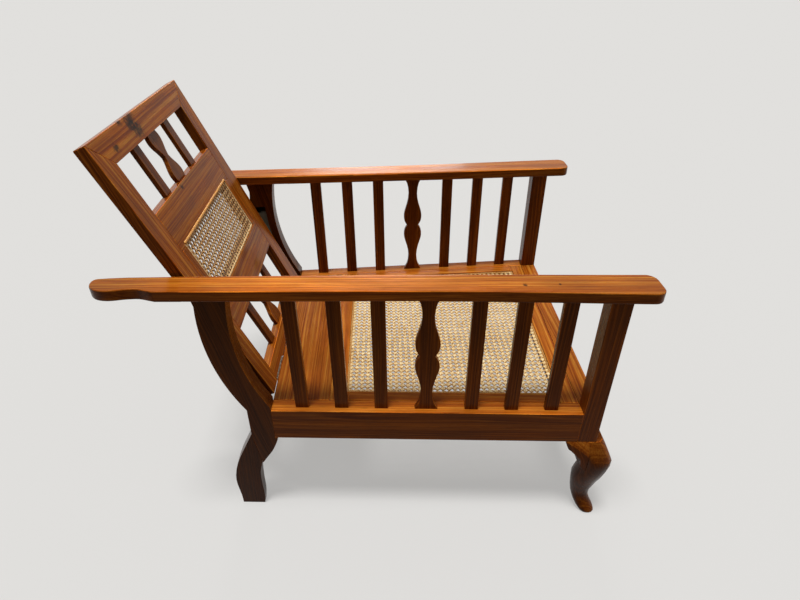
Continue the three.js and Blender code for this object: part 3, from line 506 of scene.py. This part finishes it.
def repeat_tree():
    """Geometry nodes that repeat one cell over a grid of points."""
    tree = bpy.data.node_groups.new("repeat_over_grid", "GeometryNodeTree")
    face = tree.interface
    face.new_socket("Geometry", in_out="INPUT", socket_type="NodeSocketGeometry")
    for label, kind in (("Pitch across", "Float"), ("Pitch along", "Float"), ("Count across", "Int"),
                        ("Count along", "Int"), ("Material", "Material")):
        face.new_socket(label, in_out="INPUT", socket_type=f"NodeSocket{kind}")
    face.new_socket("Geometry", in_out="OUTPUT", socket_type="NodeSocketGeometry")
    given = add(tree, "NodeGroupInput").outputs
    reach = []
    for way in ("across", "along"):
        steps = add(tree, "ShaderNodeMath", {0: given[f"Count {way}"], 1: 1.0}, operation="SUBTRACT")
        reach.append(add(tree, "ShaderNodeMath", {0: given[f"Pitch {way}"], 1: steps.outputs[0]},
                         operation="MULTIPLY").outputs[0])
    grid = add(tree, "GeometryNodeMeshGrid", {"Size X": reach[0], "Size Y": reach[1],
                                              "Vertices X": given["Count across"],
                                              "Vertices Y": given["Count along"]})
    spread = add(tree, "GeometryNodeInstanceOnPoints", {"Points": grid.outputs["Mesh"],
                                                        "Instance": given["Geometry"]})
    real = add(tree, "GeometryNodeRealizeInstances", {"Geometry": spread.outputs["Instances"]})
    dressed = add(tree, "GeometryNodeSetMaterial", {"Geometry": real.outputs[0],
                                                    "Material": given["Material"]})
    add(tree, "NodeGroupOutput", {"Geometry": dressed.outputs[0]})
    return tree


REPEAT = repeat_tree()
noise.seed_set(STRAY_SEED)


def repeated(cell, pitches, counts, material):
    """Mesh of a bmesh cell repeated over a grid that is centred on the origin. Pitches are in metres."""
    host = placed("cell", meshed("cell", cell))
    modifier = host.modifiers.new("repeat", "NODES")
    modifier.node_group = REPEAT
    inputs = {item.name: item.identifier for item in REPEAT.interface.items_tree if item.in_out == "INPUT"}
    values = {"Pitch across": float(pitches[0]), "Pitch along": float(pitches[1]),
              "Count across": counts[0], "Count along": counts[1], "Material": material}
    for label, value in values.items():
        modifier[inputs[label]] = value
    host.update_tag()
    bpy.context.view_layer.update()
    whole = host.evaluated_get(bpy.context.evaluated_depsgraph_get())
    result = bpy.data.meshes.new_from_object(whole)
    host.modifiers.remove(modifier)
    bpy.data.objects.remove(host)
    return result


def panel_place(origin, across, along):
    """Matrix from a panel's own plane to the chair. Its third axis comes out of the panel's face."""
    turned = Matrix((across, along, across.cross(along))).transposed()
    return Matrix.Translation(origin) @ turned.to_4x4()


def strand(shape, path):
    """Flat strand with a rounded top along a path in millimetres, open at its ends."""
    side = sideways(Vector(path[0]), Vector(path[-1]))
    rings = [[shape.verts.new((Vector(point) + side * across * STRAND_WIDE
                               + Vector((0, 0, up * STRAND_THICK))) * MM)
              for across, up in SECTION_SHARES] for point in path]
    for near, far in zip(rings, rings[1:]):
        for index in range(len(near)):
            after = (index + 1) % len(near)
            shape.faces.new((near[index], far[index], far[after], near[after]))


def pair_cell():
    """One crossing of a pair of rows and a pair of columns, each strand over one and under the next."""
    cell = bmesh.new()
    half, gap, rise = PITCH / 2, PAIR_SPACING / 2, STRAND_THICK / 2
    for sign in (-1, 1):
        strand(cell, [(sign * gap, -half, 0), (sign * gap, -gap, sign * rise),
                      (sign * gap, gap, -sign * rise), (sign * gap, half, 0)])
        strand(cell, [(-half, sign * gap, 0), (-gap, sign * gap, -sign * rise),
                      (gap, sign * gap, sign * rise), (half, sign * gap, 0)])
    return cell


def diagonal_cell():
    """The slanting strands that cut the corners of each square, so that its gap is eight-sided."""
    cell = bmesh.new()
    half, rise = PITCH / 2, STRAND_THICK
    for (start, end, sign) in (((-half, 0), (0, half), 1), ((half, 0), (0, -half), 1),
                               ((-half, 0), (0, -half), -1), ((half, 0), (0, half), -1)):
        path = []
        for share, level in SLANT_SHARES:
            path.append((start[0] + (end[0] - start[0]) * share, start[1] + (end[1] - start[1]) * share,
                         sign * level * rise))
        strand(cell, path)
    return cell


def panel_outline(node, to_panel):
    """Half width and place along of each end of a cane panel, read from its CAD solid."""
    flat = [to_panel @ corner.co for corner in frame["nodes"][node].data.vertices]
    low, high = min(p.y for p in flat), max(p.y for p in flat)
    return [(max(abs(p.x) for p in flat if abs(p.y - along) < PANEL_END * MM), along)
            for along in (low, high)]


def woven(name, cell, ends, to_world, sag, material, body):
    """Repeats a cell over a panel, cuts it to the panel's outline and lets it sag."""
    (half_low, low), (half_high, high) = ends
    middle, half_long = (low + high) / 2, (high - low) / 2
    widest, half_mean = max(half_low, half_high), (half_low + half_high) / 2
    counts = (2 * math.ceil(widest / (PITCH * MM)) + 1, math.ceil(2 * half_long / (PITCH * MM)) + 1)
    shape = bmesh.new()
    shape.from_mesh(repeated(cell, (PITCH * MM, PITCH * MM), counts, material))
    bmesh.ops.remove_doubles(shape, verts=shape.verts, dist=WELD * MM)
    for corner in shape.verts:
        corner.co += noise.noise_vector(corner.co / (STRAY_OVER * MM)) * STRAY * MM
        corner.co.z *= 1 - THINNING_SHARE * abs(noise.noise(corner.co / (THINNING_OVER * MM)))
    slope = (half_high - half_low) / (2 * half_long)
    for sign in (1, -1):
        cut(shape, (0, sign * half_long, 0), (0, sign, 0), trim=True)
    for sign in (-1, 1):
        cut(shape, (sign * half_mean, 0, 0), (sign, -slope, 0), trim=True)
    for corner in shape.verts:
        across = corner.co.x / (half_mean + slope * corner.co.y)
        along = corner.co.y / half_long
        corner.co.z -= sag * MM * max(0, 1 - across ** 2) * max(0, 1 - along ** 2)
        corner.co.y += middle
    shape.transform(to_world)
    return finished(name, meshed(name, shape), material, body)


def binder(name, start, end, wide, high, to_world, material, body):
    """Half-round cane laid over the edge of a panel, from start to end in the panel's plane."""
    shape = bmesh.new()
    start, end = Vector((*start, 0)), Vector((*end, 0))
    steps = LOOP_STEPS * round((end - start).length / (PITCH * MM))
    side = sideways(start, end)
    rings = []
    for step in range(steps + 1):
        spine = start.lerp(end, step / steps)
        spine += side * BINDER_STRAY * MM * noise.noise(spine / (BINDER_STRAY_OVER * MM))
        pinch = 1 - (PINCH_SHARE if step % LOOP_STEPS == 0 else 0)
        ring = []
        for turn in range(BINDER_SIDES + 1):
            angle = math.pi * turn / BINDER_SIDES
            ring.append(shape.verts.new(spine + side * math.cos(angle) * wide * pinch / 2 * MM
                                        + Vector((0, 0, math.sin(angle) * high * pinch * MM))))
        rings.append(ring)
    for near, far in zip(rings, rings[1:]):
        for index in range(BINDER_SIDES):
            shape.faces.new((near[index], far[index], far[index + 1], near[index + 1]))
        shape.faces.new((near[-1], far[-1], far[0], near[0]))
    shape.faces.new(rings[0])
    shape.faces.new(rings[-1][::-1])
    bmesh.ops.recalc_face_normals(shape, faces=shape.faces)
    shape.transform(to_world)
    finished(name, meshed(name, shape), material, body)


def cane_panel(node, to_world, sag, material, diagonal_shade, binders):
    """Weaves a panel, its slanting strands in a darker look as painted shade between the strands, and binds
    its edges. A binder has a label, two sizes, its level and inset, and a look."""
    body, slot = BODY_OF[node], SLOT_OF[node]
    ends = panel_outline(node, to_world.inverted())
    rows = woven(f"{node}_rows_and_columns", pair_cell(), ends, to_world, sag, material, body)
    # The slanting strands take the darker look, as painted shade
    woven(f"{node}_diagonals", diagonal_cell(), ends, to_world, sag, diagonal_shade, body)
    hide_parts(node)
    (half_low, low), (half_high, high) = ends
    for index, (label, wide, thick, level, inset, look) in enumerate(binders):
        away = inset * MM
        corners = [(-half_low + away, low + away), (half_low - away, low + away),
                   (half_high - away, high - away), (-half_high + away, high - away)]
        binder(f"{node}_binder_{label}", corners[index], corners[(index + 1) % 4], wide, thick,
               to_world @ Matrix.Translation((0, 0, level * MM)), look, body)


ACROSS = Vector((1, 0, 0))
seat_low, seat_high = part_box("seat_cane")
seat_place = panel_place(Vector((0, 0, (seat_low.z + seat_high.z) / 2)), ACROSS, Vector((0, 1, 0)))
cane_panel("seat_cane", seat_place, SEAT_SAG, SEAT_CANE, SEAT_CANE_HONEY_AND_SHADE, [
    (label, *PLAIN_BINDER, SEAT_CANE_HONEY_AND_SHADE) for label in ("front", "left", "rear", "right")])

lean = math.radians(BACK_LEAN)
back_up = Vector((0, math.sin(lean), math.cos(lean)))
back_out = ACROSS.cross(back_up)
# The weave lies in the middle of the back's cane solid, whose faces are found from the hinge
net = [back_out.dot(corner.co - JOINT_AT["back_hinge"])
       for corner in frame["nodes"]["back_cane"].data.vertices]
back_place = panel_place(JOINT_AT["back_hinge"] + back_out * (min(net) + max(net)) / 2, ACROSS, back_up)
cane_panel("back_cane", back_place, BACK_SAG, BACK_CANE, BACK_CANE_SHADE, [
    ("bottom", *PLAIN_BINDER, BACK_CANE), ("left", *PLAIN_BINDER, BACK_CANE),
    ("top", *TOP_BINDER, BINDER_CANE), ("right", *PLAIN_BINDER, BACK_CANE)])


def wall(shape, low, high):
    """Faces between a lower and an upper ring of points."""
    for index in range(len(low)):
        after = (index + 1) % len(low)
        shape.faces.new((low[index], low[after], high[after], high[index]))


def screw_head():
    """Low domed screw head, its top in two halves with the driver's slot between them."""
    cell = bmesh.new()
    angles = [turn * 2 * math.pi / SCREW_FACETS for turn in range(SCREW_FACETS)]
    rims = []
    for radius, rise in RIM_SHARES:
        rims.append([cell.verts.new(Vector((math.cos(angle) * radius * SCREW_RADIUS,
                                            math.sin(angle) * radius * SCREW_RADIUS,
                                            rise * SCREW_RISE)) * MM) for angle in angles])
    for low, high in zip(rims, rims[1:]):
        wall(cell, low, high)
    cell.faces.new(rims[0][::-1])
    cell.faces.new(rims[-1])
    foot, top = CAP_RISE_SHARES
    for sign in (-1, 1):
        half = []
        for turn in range(CAP_FACETS):
            angle = math.pi * (turn + 0.5) / CAP_FACETS - math.pi / 2
            across = max(math.cos(angle) * CAP_SHARE * SCREW_RADIUS, SCREW_SLOT / 2)
            half.append(Vector((sign * across, math.sin(angle) * CAP_SHARE * SCREW_RADIUS, 0)))
        low = [cell.verts.new((point + Vector((0, 0, foot * SCREW_RISE))) * MM) for point in half]
        high = [cell.verts.new((point * CAP_TAPER_SHARE + Vector((0, 0, top * SCREW_RISE))) * MM)
                for point in half]
        cell.faces.new(low)
        cell.faces.new(high)
        wall(cell, low, high)
    bmesh.ops.recalc_face_normals(cell, faces=cell.faces)
    return cell


def hinge_screws(node, out, away, inset):
    """A row of screws on a leaf's outer face, at an inset from its end that is away from the pin."""
    corners = [corner.co for corner in frame["nodes"][node].data.vertices]
    tip = max(away.dot(corner) for corner in corners)
    level = max(out.dot(corner) for corner in corners if away.dot(corner) > tip - LEAF_END * MM)
    middle = (min(corner.x for corner in corners) + max(corner.x for corner in corners)) / 2
    mesh = repeated(screw_head(), (SCREW_PITCH * MM, 0), (SCREW_COUNT, 1), HINGE_STEEL)
    mesh.transform(panel_place(ACROSS * middle + away * (tip - inset * MM) + out * level, ACROSS,
                               out.cross(ACROSS)))
    finished(f"{node}_screws", mesh, HINGE_STEEL, BODY_OF[node], smooth=False)


for side in ("left", "right"):
    hinge_screws(f"hinge_seat_leaf_{side}", Vector((0, 1, 0)), Vector((0, 0, -1)), SEAT_SCREW_INSET)
    hinge_screws(f"hinge_back_leaf_{side}", -back_up, -back_out, BACK_SCREW_INSET)


# Metal

METAL_OF = {"hinge_metal": HINGE_STEEL, "rod_steel": ROD_STEEL}
for node_name, slot_name in SLOT_OF.items():
    if slot_name in METAL_OF:
        node_mesh = frame["nodes"][node_name].data
        node_mesh.materials.clear()
        node_mesh.materials.append(METAL_OF[slot_name])


# Floor, light and camera

def seen_rays(tree):
    """1 for what is seen straight, in a reflection or through glass, and 0 for light that bounces softly."""
    path = add(tree, "ShaderNodeLightPath").outputs
    mirrored = add(tree, "ShaderNodeMath", {0: path["Is Glossy Ray"], 1: path["Is Transmission Ray"]},
                   operation="MAXIMUM")
    return add(tree, "ShaderNodeMath", {0: path["Is Camera Ray"], 1: mirrored.outputs[0]},
               operation="MAXIMUM").outputs[0]


def studio_floor():
    """Matt paper. Seen straight or in a reflection it also glows a little, so that the shadow on it stays
    light. It is darker to bounced light, so that the chair's sides stay deep."""
    material, tree, shader = new_material("matt_paper_floor")
    seen = seen_rays(tree)
    paper = add(tree, "ShaderNodeMix", {0: seen, 6: linear(PAPER_BOUNCED), 7: linear(PAPER_SEEN)},
                data_type="RGBA")
    glow = add(tree, "ShaderNodeMath", {0: seen, 1: PAPER_GLOW}, operation="MULTIPLY")
    tree.links.new(paper.outputs[2], shader.inputs["Base Color"])
    tree.links.new(glow.outputs[0], shader.inputs["Emission Strength"])
    shader.inputs["Emission Color"].default_value = linear(BACKDROP)
    shader.inputs["Roughness"].default_value = 1
    shader.inputs["Specular IOR Level"].default_value = 0
    shape = bmesh.new()
    bmesh.ops.create_grid(shape, x_segments=1, y_segments=1, size=FLOOR_REACH)
    mesh = meshed("floor", shape)
    mesh.materials.append(material)
    floor = placed("floor", mesh)


def studio_light():
    """A broad soft sun almost overhead, a faint low one from beyond the chair's far side, and a dim plain
    room that is pale where it is seen."""
    world = bpy.data.worlds.new("studio")
    bpy.context.scene.world = world
    world.use_nodes = True
    tree = world.node_tree
    tree.nodes.clear()
    soft = add(tree, "ShaderNodeBackground", {"Color": linear(ROOM_LIGHT), "Strength": ROOM_STRENGTH})
    pale = add(tree, "ShaderNodeBackground", {"Color": linear(BACKDROP), "Strength": 1.0})
    shown = add(tree, "ShaderNodeMixShader", {0: seen_rays(tree), 1: soft.outputs[0], 2: pale.outputs[0]})
    add(tree, "ShaderNodeOutputWorld", {"Surface": shown.outputs[0]})
    for label, strength, spread, turn in SUNS:
        lamp = bpy.data.lights.new(label, "SUN")
        lamp.energy = strength
        lamp.angle = math.radians(spread)
        placed(label, lamp).rotation_euler = radians(turn)


def photo_camera():
    """The camera where the photo was taken from."""
    camera = bpy.data.cameras.new("camera")
    camera.lens = CAMERA_LENS
    camera.sensor_width = CAMERA_SENSOR
    holder = placed("camera", camera)
    holder.location = CAMERA_PLACE
    holder.rotation_euler = radians(CAMERA_TURN)
    bpy.context.scene.camera = holder


studio_floor()
studio_light()
photo_camera()
bpy.context.scene.view_settings.view_transform = "Standard"
